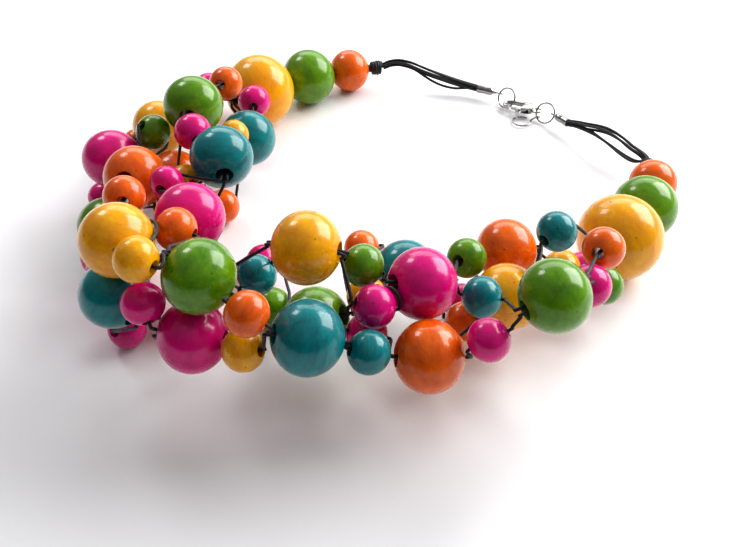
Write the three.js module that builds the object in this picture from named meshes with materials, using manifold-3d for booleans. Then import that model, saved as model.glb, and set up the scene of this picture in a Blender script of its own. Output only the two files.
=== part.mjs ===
// A chunky beaded necklace, laid on a table: six waxed cotton cords carry glossy painted wooden
// balls. Every large ball takes two cords and every small one takes one, so that the strings cross
// over in a loose cluster. At both ends all six cords run through three graded balls, are knotted,
// and go on bare to a crimped cord end. A lobster clasp between two jump rings closes the loop.
// Millimetres, +Z up. The necklace lies on z = 0 and its ends point away along +Y.
import * as THREE from 'three';
import { mergeVertices } from 'three/addons/utils/BufferGeometryUtils.js';
import Module from 'manifold-3d';

const wasm = await Module();
wasm.setup();

// ---- driving dimensions -------------------------------------------------------------------------

const GAP = 0.3;
const CORD = 1.0;                 // diameter of one waxed cord
const CORD_SIDES = 6;
const POLE_FLATNESS = 0.95;       // a drilled ball is a little shorter along its hole

// diameter and hole of each size of ball, and how finely it is turned
const SIZES = {
  little: { diameter: 10.5, hole: 3.2, around: 10, along: 4 },
  small: { diameter: 12, hole: 3.4, around: 10, along: 4 },
  large: { diameter: 20, hole: 5.4, around: 12, along: 6 },
  end_yellow: { diameter: 28, hole: 6.4, around: 16, along: 7 },
  end_green: { diameter: 22, hole: 5.6, around: 14, along: 6 },
  end_orange: { diameter: 17, hole: 5.2, around: 12, along: 6 },
};

const STEM = 3.2;                 // six cords gathered side by side inside the end balls
const KNOT = { diameter: 5.8, length: 4.8 };
const BUNDLE = 2.9;               // six cords gathered outside the knot
const CRIMP = { diameter: 3.5, socket: 2.7, socketDepth: 2.4, length: 5.6, eye: 1.3, wire: 0.6 };
const RING = { radius: 4.0, wire: 0.7 };
const CLASP = {
  nose: 1.8,                      // thickness of the hook
  block: 2.6,                     // thickness of the block that holds the lever
  slot: 1.5,
  pivot: [10.6, -0.9],
  pin: 0.9,
  leverThickness: 0.9,
  eye: 14.9,                      // from the front of the hook to the middle of the eye
};

const COLOURS = { orange: 0xf06a1e, green: 0x5c9a1e, yellow: 0xf2b51c, pink: 0xdd1f74, teal: 0x0b7d84 };

// where every ball lies: [name, colour, size, x, y, z]. Capitals are large balls, and the letters
// run from the right-hand end of the cluster round to the left-hand one.
const BALLS = [
  ['right_orange', 'orange', 'end_orange', 95.5, 15, 8.5],
  ['right_green', 'green', 'end_green', 88.5, -3, 11],
  ['right_yellow', 'yellow', 'end_yellow', 75.5, -23.5, 14],
  ['a1', 'orange', 'small', 59, -63.5, 41], ['a2', 'pink', 'small', 54, -74, 36.5],
  ['a3', 'green', 'small', 65.5, -49, 15.5], ['a4', 'teal', 'small', 48.5, -50.5, 37],
  ['a5', 'yellow', 'small', 53, -45, 18.5], ['a6', 'pink', 'small', 61, -38, 12],
  ['A1', 'green', 'large', 42.5, -84.5, 42], ['A2', 'orange', 'large', 37.5, -34, 17],
  ['A3', 'yellow', 'large', 35, -59.5, 20],
  ['b1', 'green', 'small', 23.5, -49, 26], ['b2', 'teal', 'small', 26, -70, 29],
  ['b3', 'pink', 'small', 25.5, -91.5, 33], ['b4', 'orange', 'small', 23, -58, 9],
  ['b5', 'pink', 'small', 23.5, -46, 6], ['b6', 'yellow', 'small', 16, -74, 13],
  ['B1', 'pink', 'large', 9, -72.5, 36], ['B2', 'orange', 'large', 10.5, -90, 25.5],
  ['B3', 'teal', 'large', 5.5, -44.5, 17],
  ['c1', 'orange', 'small', -7.5, -30, 14.5], ['c2', 'green', 'small', -7, -69, 39.5],
  ['c3', 'pink', 'small', -4, -82.5, 36.5], ['c4', 'teal', 'small', -5.5, -94, 31],
  ['c5', 'yellow', 'small', -6, -64, 24], ['c6', 'pink', 'small', -6, -79, 23.5],
  ['C1', 'yellow', 'large', -22, -71.5, 47.5], ['C2', 'green', 'large', -20.5, -66, 16.5],
  ['C3', 'teal', 'large', -21, -95.5, 37.5],
  ['d1', 'pink', 'small', -39.5, -26.5, 6], ['d2', 'teal', 'small', -37.5, -59, 28],
  ['d3', 'green', 'small', -35, -48, 6], ['d4', 'orange', 'small', -35.5, -97, 47],
  ['d5', 'yellow', 'small', -38, -92.5, 30.5], ['d6', 'pink', 'small', -47, -71.5, 39.5],
  ['D1', 'green', 'large', -48.5, -85, 49], ['D2', 'pink', 'large', -52.5, -84.5, 27.5],
  ['D3', 'orange', 'large', -57.5, -45, 12.5],
  ['e1', 'yellow', 'small', -63, -87.5, 56.5], ['e2', 'orange', 'small', -57, -66, 49.5],
  ['e3', 'pink', 'small', -64.5, -83.5, 38.5], ['e4', 'pink', 'small', -78, -58, 6],
  ['e5', 'teal', 'small', -55.5, -66.5, 32], ['e6', 'green', 'small', -59, -72, 19],
  ['E1', 'yellow', 'large', -71, -74, 52], ['E2', 'pink', 'large', -56, -51, 42.5],
  ['E3', 'teal', 'large', -75, -72, 32],
  ['f1', 'orange', 'small', -74, -49.5, 48.5], ['f2', 'yellow', 'small', -77.5, -42.5, 38],
  ['f3', 'teal', 'small', -57.5, -30.5, 22], ['f4', 'pink', 'little', -67, -26, 37],
  ['f5', 'orange', 'small', -78, -58.5, 20.5], ['f6', 'green', 'small', -82.5, -51, 30],
  ['F1', 'orange', 'large', -79.5, -15, 31.5], ['F2', 'teal', 'large', -51.5, -14, 38.5],
  ['F3', 'pink', 'large', -82, -41.5, 15.5],
  ['g1', 'pink', 'small', -62, -1.5, 40], ['g2', 'green', 'small', -78, 12, 31.5],
  ['g3', 'teal', 'small', -69, -17, 17.5], ['g4', 'yellow', 'little', -64, -13, 29],
  ['g5', 'pink', 'small', -91.5, -29, 10], ['g6', 'orange', 'small', -79.5, -25.5, 7.5],
  ['G1', 'orange', 'large', -70, -0.5, 20.5], ['G2', 'green', 'large', -64, 15, 40],
  ['G3', 'green', 'large', -92, -12.5, 10],
  ['h1', 'yellow', 'little', -51.5, 16.5, 27.5], ['h2', 'orange', 'small', -56, 4.5, 6],
  ['h3', 'pink', 'small', -98, 10, 6], ['h4', 'pink', 'small', -76, 10.5, 10],
  ['h5', 'orange', 'small', -56, 39, 35], ['h6', 'green', 'small', -64, 42, 25],
  ['H1', 'teal', 'large', -48.5, 29, 18.5], ['H2', 'pink', 'large', -92, 6.5, 24.5],
  ['i1', 'pink', 'small', -48, 51.5, 20.5], ['i2', 'pink', 'small', -46.5, 45, 10],
  ['i3', 'orange', 'small', -92.5, 44.5, 6], ['i4', 'teal', 'small', -88.5, 21, 14],
  ['I1', 'yellow', 'large', -82, 38.5, 17],
  ['j1', 'pink', 'small', -69.5, 81.5, 9.5], ['j2', 'yellow', 'small', -56.5, 51, 6],
  ['left_yellow', 'yellow', 'end_yellow', -48, 71, 14],
  ['left_green', 'green', 'end_green', -29.5, 87.5, 11],
  ['left_orange', 'orange', 'end_orange', -13, 97.5, 8.5],
];

// the balls on each cord between the two yellow end balls
const STRINGS = [
  'a1 A1 b2 B1 c2 C1 d2 D2 e3 E2 f3 F2 g1 G2 h5',
  'a2 A1 b3 B2 c4 C3 d4 D1 e2 E1 f1 F1 g2 G1 h1 H1 i1',
  'a5 A2 b1 B1 c3 C1 d6 D1 e1 E1 f2 F1 g3 G1 h2 H1 i2',
  'a6 A2 b5 B3 c5 C2 d3 D3 e5 E2 f4 F2 g4 G2 h6',
  'a4 A3 b4 B3 c1 C2 d1 D3 e4 E3 f5 F3 g5 G3 h3 H2 i3 I1 j1',
  'a3 A3 b6 B2 c6 C3 d5 D2 e6 E3 f6 F3 g6 G3 h4 H2 i4 I1 j2',
].map((names) => ['right_yellow', ...names.split(' '), 'left_yellow']);

// small balls that are loose pieces of their own; the others are made fast on their cord
const LOOSE_SMALL = ['a1', 'a4', 'b2', 'b3', 'c3', 'c4', 'd4', 'd5', 'e1', 'e3'];
const isSmall = (ball) => ball.size === 'small' || ball.size === 'little';

// ---- helpers ------------------------------------------------------------------------------------

const vec = (x, y, z) => new THREE.Vector3(x, y, z);
const UP = vec(0, 0, 1);

function solid(geometry) {
  const bare = geometry.clone();
  bare.deleteAttribute('normal');
  bare.deleteAttribute('uv');
  const merged = mergeVertices(bare, 1e-4);
  return new wasm.Manifold(new wasm.Mesh({
    numProp: 3,
    vertProperties: new Float32Array(merged.attributes.position.array),
    triVerts: new Uint32Array(merged.index.array),
  }));
}

const joined = (solids) => solids.reduce((whole, next) => whole.add(next));

function sub(name, shape, material) {
  const { vertProperties, triVerts } = shape.getMesh();
  const geometry = new THREE.BufferGeometry();
  geometry.setAttribute('position', new THREE.BufferAttribute(new Float32Array(vertProperties), 3));
  geometry.setIndex(new THREE.BufferAttribute(new Uint32Array(triVerts), 1));
  geometry.computeVertexNormals();
  const mesh = new THREE.Mesh(geometry, material);
  mesh.name = name;
  return mesh;
}

// a path that keeps every point of its list, for an even tube with one ring at each point
class PointPath extends THREE.Curve {
  constructor(points) {
    super();
    this.points = points;
  }

  getPoint(t, target = new THREE.Vector3()) {
    const at = t * (this.points.length - 1);
    const i = Math.min(Math.floor(at), this.points.length - 2);
    return target.lerpVectors(this.points[i], this.points[i + 1], at - i);
  }

  getUtoTmapping(u) {
    return u;
  }
}

function roundSection(radius, sides) {
  const shape = new THREE.Shape();
  for (let i = 0; i < sides; i++) {
    const angle = 2 * Math.PI * i / sides;
    const x = radius * Math.cos(angle);
    const y = radius * Math.sin(angle);
    if (i === 0) shape.moveTo(x, y);
    else shape.lineTo(x, y);
  }
  return shape;
}

function tube(points, radius, sides) {
  return solid(new THREE.ExtrudeGeometry(roundSection(radius, sides), {
    steps: points.length - 1,
    extrudePath: new PointPath(points),
  }));
}

// turns local +Y to a direction and moves it to a place, for shapes turned on a lathe
function along(geometry, direction, place) {
  const turn = new THREE.Quaternion().setFromUnitVectors(vec(0, 1, 0), direction);
  return geometry.applyQuaternion(turn).translate(place.x, place.y, place.z);
}

// ---- the balls ----------------------------------------------------------------------------------

const balls = {};
for (const [name, colour, size, x, y, z] of BALLS) {
  balls[name] = { name, colour, size, centre: vec(x, y, z), ...SIZES[size], aim: vec(0, 0, 0) };
}

// a hole looks evenly towards the balls before and after it on its cords
for (const names of STRINGS) {
  for (let i = 1; i < names.length - 1; i++) {
    const ball = balls[names[i]];
    const before = balls[names[i - 1]].centre.clone().sub(ball.centre).normalize();
    const after = balls[names[i + 1]].centre.clone().sub(ball.centre).normalize();
    ball.aim.add(after).sub(before);
  }
}

// the holes of the end balls follow the curve in which they lie, ending at the two knots
const KNOTS = { left: vec(-1.8, 99.8, 8.5), right: vec(96.5, 26.2, 8) };
const END_RUNS = [
  [KNOTS.right, 'right_orange', 'right_green', 'right_yellow'],
  ['left_yellow', 'left_green', 'left_orange', KNOTS.left],
];
const placeOf = (item) => (typeof item === 'string' ? balls[item].centre : item);
for (const run of END_RUNS) {
  run.forEach((item, i) => {
    if (typeof item !== 'string') return;
    const from = placeOf(run[Math.max(i - 1, 0)]);
    const to = placeOf(run[Math.min(i + 1, run.length - 1)]);
    balls[item].aim.subVectors(to, from);
  });
}
for (const ball of Object.values(balls)) {
  ball.axis = ball.aim.clone().normalize();
  ball.side = new THREE.Vector3().crossVectors(UP, ball.axis).normalize();
}

function turnedBall(ball, hole) {
  const radius = ball.diameter / 2;
  const start = hole > 0 ? Math.acos(hole / ball.diameter) : Math.PI / 2;
  const profile = [];
  for (let i = 0; i <= ball.along; i++) {
    const angle = start * (2 * i / ball.along - 1);
    const out = i % ball.along === 0 && hole === 0 ? 0 : radius * Math.cos(angle);
    profile.push(new THREE.Vector2(out, POLE_FLATNESS * radius * Math.sin(angle)));
  }
  if (hole > 0) profile.push(profile[0].clone());
  return solid(along(new THREE.LatheGeometry(profile, ball.around), ball.axis, ball.centre));
}

// ---- the cords through the cluster --------------------------------------------------------------

// Each cord leaves a ball along its hole, bends round whatever lies between, and enters the next.
// The slack stretches are drawn as bows, then smoothed while every ball and every other cord
// pushes them clear.
const PAIR_SPREAD = 0.85;         // two cords side by side in a large ball
const END_SPREAD = 1.5;           // six cords round the middle of an end ball's hole
const CORD_STEP = 1.8;
const SETTLING_ROUNDS = 120;

// the way a cord's neighbours pull it sideways in a ball
function pull(names, name) {
  const ball = balls[name];
  const at = names.indexOf(name);
  const total = vec(0, 0, 0);
  for (const next of [names[at - 1], names[at + 1]]) {
    if (next) total.add(balls[next].centre.clone().sub(ball.centre).normalize());
  }
  return total.projectOnPlane(ball.axis);
}

// two cords share a large ball side by side, each on the side it is pulled to; the six in an end
// ball stand in a ring, in the order in which they are pulled
function cordPlace(name, cord) {
  const ball = balls[name];
  const users = STRINGS.map((names, i) => i).filter((i) => STRINGS[i].includes(name));
  if (users.length === 1) return vec(0, 0, 0);
  if (users.length === 2) {
    const other = users.find((i) => i !== cord);
    const apart = pull(STRINGS[cord], name).sub(pull(STRINGS[other], name));
    return apart.normalize().multiplyScalar(PAIR_SPREAD);
  }
  const rise = new THREE.Vector3().crossVectors(ball.axis, ball.side);
  const angleOf = (i) => {
    const way = pull(STRINGS[i], name);
    return Math.atan2(way.dot(rise), way.dot(ball.side));
  };
  users.sort((a, b) => angleOf(a) - angleOf(b));
  const turn = angleOf(users[0]) + users.indexOf(cord) * 2 * Math.PI / users.length;
  return ball.side.clone().multiplyScalar(END_SPREAD * Math.cos(turn))
    .addScaledVector(rise, END_SPREAD * Math.sin(turn));
}

function stopAt(name, cord) {
  const ball = balls[name];
  const half = POLE_FLATNESS * ball.diameter / 2 - 0.2;
  const middle = ball.centre.clone().add(cordPlace(name, cord));
  return {
    ball,
    cord,
    entry: middle.clone().addScaledVector(ball.axis, -half),
    exit: middle.clone().addScaledVector(ball.axis, half),
  };
}

function bow(from, to) {
  const span = from.exit.distanceTo(to.entry);
  const reach = Math.min(4, Math.max(1, 0.4 * span));
  const curve = new THREE.CubicBezierCurve3(
    from.exit,
    from.exit.clone().addScaledVector(from.ball.axis, reach),
    to.entry.clone().addScaledVector(to.ball.axis, -reach),
    to.entry,
  );
  return curve.getSpacedPoints(Math.max(2, Math.ceil(curve.getLength() / CORD_STEP)));
}

function pushFrom(point, centre, least, share) {
  const away = point.clone().sub(centre);
  const distance = away.length();
  if (distance < least && distance > 0) {
    point.addScaledVector(away.divideScalar(distance), share * (least - distance));
  }
}

function inMouth(point, ball) {
  const from = point.clone().sub(ball.centre);
  const height = from.dot(ball.axis);
  return Math.sqrt(Math.max(0, from.lengthSq() - height * height)) < ball.hole / 2 - 0.6;
}

function settle(slack, stops) {
  const all = slack.flatMap((run) => run.points.map((point) => ({ point, cord: run.cord })));
  for (const { cord, entry, exit } of stops.flat()) {
    for (let t = 0; t <= 1; t += 0.1) all.push({ point: entry.clone().lerp(exit, t), cord });
  }
  const free = [];
  for (const run of slack) {
    for (let i = 1; i < run.points.length - 1; i++) {
      const point = run.points[i];
      free.push({
        point,
        before: run.points[i - 1],
        after: run.points[i + 1],
        ends: run.ends,
        near: Object.values(balls).filter((b) => b.centre.distanceTo(point) < b.diameter / 2 + 8),
        others: all.filter((o) => o.cord !== run.cord && o.point.distanceTo(point) < 6),
      });
    }
  }
  for (let round = 0; round < SETTLING_ROUNDS; round++) {
    const smoothing = round < 0.7 * SETTLING_ROUNDS ? 0.3 : 0.05;
    for (const { point, before, after, ends, near, others } of free) {
      point.lerp(before.clone().add(after).multiplyScalar(0.5), smoothing);
      for (const ball of near) {
        if (ends.includes(ball) && inMouth(point, ball)) continue;
        pushFrom(point, ball.centre, ball.diameter / 2 + CORD / 2 + 0.35, 0.8);
      }
      for (const other of others) pushFrom(point, other.point, 1.6 * CORD, 0.4);
      point.z = Math.max(point.z, 0.6 * CORD);
    }
  }
}

// drops the points that a straight stretch doesn't need
function thinned(points, tolerance) {
  const first = points[0];
  const last = points[points.length - 1];
  const line = new THREE.Line3(first, last);
  let worst = 0;
  let split = 0;
  for (let i = 1; i < points.length - 1; i++) {
    const off = line.closestPointToPoint(points[i], true, vec(0, 0, 0)).distanceTo(points[i]);
    if (off > worst) {
      worst = off;
      split = i;
    }
  }
  if (worst <= tolerance) return [first, last];
  const head = thinned(points.slice(0, split + 1), tolerance);
  return [...head.slice(0, -1), ...thinned(points.slice(split), tolerance)];
}

function cordRoutes() {
  const stops = STRINGS.map((names, cord) => names.map((name) => stopAt(name, cord)));
  const slack = stops.flatMap((row, cord) => row.slice(0, -1).map((from, i) => ({
    cord,
    ends: [from.ball, row[i + 1].ball],
    points: bow(from, row[i + 1]),
  })));
  settle(slack, stops);
  return stops.map((row, cord) => {
    const runs = slack.filter((run) => run.cord === cord).map((run) => thinned(run.points, 0.2));
    const first = row[0].exit.clone().addScaledVector(row[0].ball.axis, -5);
    const last = row[row.length - 1].entry.clone().addScaledVector(row[row.length - 1].ball.axis, 5);
    return [first, ...runs.flat(), last];
  });
}

// the gathered cords from a knot through the end balls to the middle of the yellow one
function stemRoute(side) {
  const line = ['orange', 'green', 'yellow'].map((colour) => balls[`${side}_${colour}`].centre);
  const onward = line[2].clone().sub(line[1]).setLength(4);
  const route = new THREE.CatmullRomCurve3([KNOTS[side], ...line, line[2].clone().add(onward)]);
  return route.getSpacedPoints(16);
}

// ---- materials ----------------------------------------------------------------------------------

const paints = {};
for (const [name, colour] of Object.entries(COLOURS)) {
  paints[name] = new THREE.MeshStandardMaterial({ color: colour, roughness: 0.2, metalness: 0 });
}
const waxedCotton = new THREE.MeshStandardMaterial({ color: 0x1d1d20, roughness: 0.75, metalness: 0 });
const nickel = new THREE.MeshStandardMaterial({ color: 0xb9bbbe, roughness: 0.25, metalness: 1 });

// ---- building the cluster -----------------------------------------------------------------------

const necklace = new THREE.Group();
const routes = cordRoutes();
const stems = { left: stemRoute('left'), right: stemRoute('right') };
const loose = Object.values(balls).filter((ball) => !isSmall(ball) || LOOSE_SMALL.includes(ball.name));

// room for the cords, cut out of the rims that they bend round
const cordRoom = routes.map((points) => tube(points, CORD / 2 + GAP, CORD_SIDES));
const stemRoom = {
  left: tube(stems.left, STEM / 2 + GAP, 8),
  right: tube(stems.right, STEM / 2 + GAP, 8),
};

for (const ball of loose) {
  let shape = turnedBall(ball, ball.hole);
  STRINGS.forEach((names, cord) => {
    if (names.includes(ball.name)) shape = shape.subtract(cordRoom[cord]);
  });
  if (ball.size.startsWith('end')) shape = shape.subtract(stemRoom[ball.name.split('_')[0]]);
  const kind = { small: 'small_ball', large: 'large_ball' }[ball.size] ?? 'end_ball';
  necklace.add(sub(`${kind}_${ball.name}`, shape, paints[ball.colour]));
}

STRINGS.forEach((names, cord) => {
  const fast = names.filter((name) => isSmall(balls[name]) && !LOOSE_SMALL.includes(name));
  const shape = joined([
    tube(routes[cord], CORD / 2, CORD_SIDES),
    ...fast.map((name) => turnedBall(balls[name], 0)),
  ]);
  necklace.add(sub(`ball_string_${cord + 1}`, shape, waxedCotton));
});

// ---- knots and neck cords ------------------------------------------------------------------------

// a knot and the gathered cords that run from it through the three end balls
function knotAndStem(side) {
  const profile = [];
  const rounds = 8;
  for (let i = 0; i <= rounds; i++) {
    const t = i / rounds;
    const swell = 0.72 + 0.28 * Math.sin(5 * Math.PI * t) ** 2;
    const out = i === 0 || i === rounds ? 0 : KNOT.diameter / 2 * swell;
    profile.push(new THREE.Vector2(out, KNOT.length * (t - 0.5)));
  }
  const away = KNOTS[side].clone().sub(balls[`${side}_orange`].centre).normalize();
  const knot = solid(along(new THREE.LatheGeometry(profile, 10), away, KNOTS[side]));
  return knot.add(tube(stems[side], STEM / 2, 8));
}

// The bare cords from each knot to its cord end. Most lie together in the first run of points, and
// single ones hang apart from it. All start and end with the bundle.
const NECK_RUNS = {
  left: [
    [
      [1.0, 100.4, 8.8], [4, 101.1, 9.8], [8, 100.6, 10.5], [12.5, 98.6, 10.5], [17, 96.6, 9.5],
      [21, 95.3, 8.4], [25, 94.5, 7.2], [30.5, 93.5, 5.6], [35.5, 92.3, 4.5], [40.0, 90.6, 4.0],
    ],
    [
      [1.0, 100.4, 8.8], [8, 100.2, 9.9], [14, 96.9, 9.3], [18, 94.6, 7.6], [21.5, 94.4, 5.3],
      [26, 94.2, 3.2], [31, 92.9, 2.7], [35.5, 91.9, 3.4], [40.0, 90.6, 4.0],
    ],
  ],
  right: [
    [
      [96.5, 29.4, 8.3], [95.8, 31.2, 8.8], [94.1, 33.0, 9.5], [91.5, 35.4, 10.3], [89.3, 38.6, 11],
      [87.0, 42.2, 11.2], [84.6, 46.4, 10.6], [82, 50.4, 9.3], [79, 54.6, 7.6], [76.2, 58.6, 6.1],
      [73.3, 61.3, 5.0],
    ],
    [
      [96.5, 29.4, 8.3], [95.2, 31.0, 8.2], [93.0, 32.6, 7.9], [90.9, 35.9, 7.6], [88.6, 39.8, 7.5],
      [86, 43.6, 7.8], [83.4, 47.2, 8], [80.6, 51.6, 7.6], [76.2, 58.2, 6.1], [73.3, 61.3, 5.0],
    ],
    [
      [96.5, 29.4, 8.3], [95.2, 30.5, 7.7], [93.0, 31.6, 6.6], [91.2, 35.0, 5.4], [89.2, 40.6, 4.4],
      [86.4, 44.8, 5.2], [83.2, 48.6, 6.3], [79.6, 53.2, 6.9], [76.2, 58.0, 6.1], [73.3, 61.3, 5.0],
    ],
  ],
};

function neckCords(side) {
  return joined(NECK_RUNS[side].map((run, i) => {
    const route = new THREE.CatmullRomCurve3(run.map((point) => vec(...point)));
    return tube(route.getSpacedPoints(i === 0 ? 16 : 18), (i === 0 ? BUNDLE : CORD) / 2, 8);
  }));
}

// ---- cord ends, rings and clasp -------------------------------------------------------------------

const torus = (radius, wire, sides, around) => new THREE.TorusGeometry(radius, wire / 2, sides, around);
const facing = (normal) => new THREE.Quaternion().setFromUnitVectors(UP, normal.clone().normalize());

// a tube pinched shut round the cords, with a small eye at its closed end
function cordEnd({ start, ring, eye }) {
  const way = eye.clone().sub(start).normalize();
  const reach = eye.distanceTo(start) - CRIMP.eye;
  const outer = CRIMP.diameter / 2;
  const inner = CRIMP.socket / 2;
  const barrel = solid(along(new THREE.LatheGeometry([
    [0, CRIMP.socketDepth], [inner, CRIMP.socketDepth], [inner, 0], [outer, 0], [outer, CRIMP.length],
    [0.7 * outer, CRIMP.length + 1], [0.35, reach], [0, reach],
  ].map(([x, y]) => new THREE.Vector2(x, y)), 12), way, start));
  const wireWay = new THREE.Vector3().crossVectors(ring.normal, eye.clone().sub(ring.centre));
  const normal = wireWay.projectOnPlane(way);
  const loop = torus(CRIMP.eye, CRIMP.wire, 6, 12).applyQuaternion(facing(normal));
  return barrel.add(solid(loop.translate(eye.x, eye.y, eye.z)));
}

function jumpRing({ centre, normal }) {
  return solid(torus(RING.radius, RING.wire, 6, 22).applyQuaternion(facing(normal))
    .translate(centre.x, centre.y, centre.z));
}

const RINGS = {
  left: { centre: vec(51.4, 82.9, 3.9), normal: vec(-0.656, -0.58, 0.482) },
  right: { centre: vec(65.6, 70.8, 3.95), normal: vec(-0.574, -0.63, 0.523) },
};

// a point on a jump ring's wire, turned from its level right-hand side towards its top
function onRing({ centre, normal }, degrees) {
  const turn = THREE.MathUtils.degToRad(degrees);
  const level = new THREE.Vector3().crossVectors(UP, normal).normalize();
  const rise = new THREE.Vector3().crossVectors(normal, level).normalize();
  return centre.clone()
    .addScaledVector(level, RING.radius * Math.cos(turn))
    .addScaledVector(rise, RING.radius * Math.sin(turn));
}

const CORD_ENDS = {
  left: { start: vec(40.4, 90.4, 4.0), ring: RINGS.left, eye: onRing(RINGS.left, 175) },
  right: { start: vec(73.1, 61.7, 4.9), ring: RINGS.right, eye: onRing(RINGS.right, 10) },
};

// an open ring that lies flat below the clasp and hooks round the right-hand jump ring
const SPARE_RING = { centre: vec(56.4, 69.9, 0.45), radius: 3.6, rise: 0.5, hook: 1.15 };

function spareRing() {
  const points = [];
  for (let degrees = 50; degrees <= 365; degrees += 15) {
    const turn = THREE.MathUtils.degToRad(degrees);
    const { centre, radius, rise } = SPARE_RING;
    const up = rise * (degrees - 50) / 315;
    points.push(centre.clone().add(vec(radius * Math.cos(turn), radius * Math.sin(turn), up)));
  }
  const link = onRing(RINGS.right, 228);
  const outward = RINGS.right.normal.clone().normalize();
  const inward = RINGS.right.centre.clone().sub(link).normalize();
  for (let degrees = 0; degrees <= 180; degrees += 45) {
    const turn = THREE.MathUtils.degToRad(degrees);
    points.push(link.clone()
      .addScaledVector(outward, SPARE_RING.hook * Math.cos(turn))
      .addScaledVector(inward, SPARE_RING.hook * Math.sin(turn)));
  }
  const route = new THREE.CatmullRomCurve3(points);
  return tube(route.getSpacedPoints(32), RING.wire / 2, 6);
}

// the clasp is drawn flat: its hook at 0, its eye at the far end, its spine on the +Y side
const CLASP_PLACE = new THREE.Matrix4()
  .makeRotationZ(THREE.MathUtils.degToRad(-33))
  .multiply(new THREE.Matrix4().makeRotationY(THREE.MathUtils.degToRad(-5.5)))
  .setPosition(50.1, 81.35, 2.15);

function plate(shape, thickness, segments = 4) {
  const geometry = new THREE.ExtrudeGeometry(shape, {
    depth: thickness,
    bevelEnabled: false,
    curveSegments: segments,
  });
  return solid(geometry.translate(0, 0, -thickness / 2));
}

function rod(x, y, diameter, length, sides = 12) {
  const cylinder = new THREE.CylinderGeometry(diameter / 2, diameter / 2, length, sides);
  return solid(cylinder.rotateX(Math.PI / 2).translate(x, y, 0));
}

function claspBody() {
  const hook = new THREE.Shape();
  hook.moveTo(3.5, -2.5);
  hook.bezierCurveTo(1.2, -2.7, 0, -1.4, 0, 0);
  hook.bezierCurveTo(0, 2, 1.5, 3, 4, 3);
  hook.lineTo(10.4, 3);
  hook.bezierCurveTo(12.4, 3, 13.4, 1.8, 13.4, 0);
  hook.bezierCurveTo(13.4, -1.6, 12.4, -2.6, 10.8, -2.6);
  hook.lineTo(8.9, -2.6);
  hook.lineTo(8.9, 1);
  hook.quadraticCurveTo(8.9, 1.7, 8.2, 1.7);
  hook.lineTo(4, 1.7);
  hook.bezierCurveTo(2.2, 1.7, 1.2, 1.2, 1.2, 0);
  hook.bezierCurveTo(1.2, -0.9, 1.9, -1.3, 3.5, -1.25);
  const block = new THREE.Shape();
  block.moveTo(8.9, -2.6);
  block.lineTo(10.8, -2.6);
  block.bezierCurveTo(12.4, -2.6, 13.4, -1.6, 13.4, 0);
  block.bezierCurveTo(13.4, 1.8, 12.4, 3, 10.4, 3);
  block.lineTo(7.5, 3);
  block.lineTo(7.5, 1.7);
  block.lineTo(8.2, 1.7);
  block.quadraticCurveTo(8.9, 1.7, 8.9, 1);
  const slot = solid(new THREE.BoxGeometry(4.6, 4.4, CLASP.slot).translate(9.9, -1.5, 0));
  const eye = solid(torus(1.7, 0.7, 6, 14).translate(CLASP.eye, 0, 0));
  return plate(hook, CLASP.nose)
    .add(plate(block, CLASP.block))
    .subtract(slot)
    .add(rod(...CLASP.pivot, CLASP.pin, CLASP.block - 0.2))
    .add(eye)
    .transform(CLASP_PLACE.elements);
}

// the lever shuts the hook's mouth and turns inwards about the pin in the slot
function claspLever() {
  const arm = new THREE.Shape();
  arm.moveTo(3.9, -2.35);
  arm.lineTo(3.9, -1.35);
  arm.lineTo(8.8, -1.15);
  arm.lineTo(CLASP.pivot[0], CLASP.pivot[1] + 1.1);
  arm.lineTo(CLASP.pivot[0], CLASP.pivot[1] - 1.1);
  arm.lineTo(8.8, -2.5);
  arm.lineTo(8.3, -3.3);
  arm.lineTo(7.0, -3.3);
  arm.lineTo(6.3, -2.45);
  const thumb = new THREE.Shape();
  thumb.moveTo(8.3, -3.3);
  thumb.lineTo(7.0, -3.3);
  thumb.lineTo(6.3, -2.45);
  thumb.lineTo(8.4, -2.5);
  return plate(arm, CLASP.leverThickness)
    .add(plate(thumb, CLASP.nose))
    .add(rod(...CLASP.pivot, 2.4, CLASP.leverThickness))
    .subtract(rod(...CLASP.pivot, CLASP.pin + 2 * GAP, CLASP.block))
    .transform(CLASP_PLACE.elements);
}

for (const side of ['left', 'right']) {
  necklace.add(sub(`cord_knot_${side}`, knotAndStem(side), waxedCotton));
  necklace.add(sub(`neck_cords_${side}`, neckCords(side), waxedCotton));
  necklace.add(sub(`cord_end_${side}`, cordEnd(CORD_ENDS[side]), nickel));
  necklace.add(sub(`jump_ring_${side}`, jumpRing(RINGS[side]), nickel));
}
necklace.add(sub('spare_ring', spareRing(), nickel));
necklace.add(sub('clasp_body', claspBody(), nickel));
necklace.add(sub('clasp_lever', claspLever(), nickel));

export default necklace;
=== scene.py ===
"""A beaded necklace of lacquered wooden balls on waxed cords, lying on a pale table."""
import math

import bpy
from mathutils import Matrix, Vector
from mathutils.geometry import interpolate_bezier


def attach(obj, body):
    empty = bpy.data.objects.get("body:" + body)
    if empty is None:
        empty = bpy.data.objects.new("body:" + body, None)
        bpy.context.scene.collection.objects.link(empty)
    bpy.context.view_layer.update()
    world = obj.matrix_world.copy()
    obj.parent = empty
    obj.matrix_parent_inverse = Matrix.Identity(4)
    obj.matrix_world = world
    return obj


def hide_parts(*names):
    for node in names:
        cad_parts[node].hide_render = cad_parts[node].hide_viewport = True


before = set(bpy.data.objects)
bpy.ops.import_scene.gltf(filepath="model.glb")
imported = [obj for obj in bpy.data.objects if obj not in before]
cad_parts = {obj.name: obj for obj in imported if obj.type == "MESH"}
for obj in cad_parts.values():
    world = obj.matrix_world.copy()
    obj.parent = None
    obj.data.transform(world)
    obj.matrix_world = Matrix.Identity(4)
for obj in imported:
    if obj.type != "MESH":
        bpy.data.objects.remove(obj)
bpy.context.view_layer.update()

MM = 0.001

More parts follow.
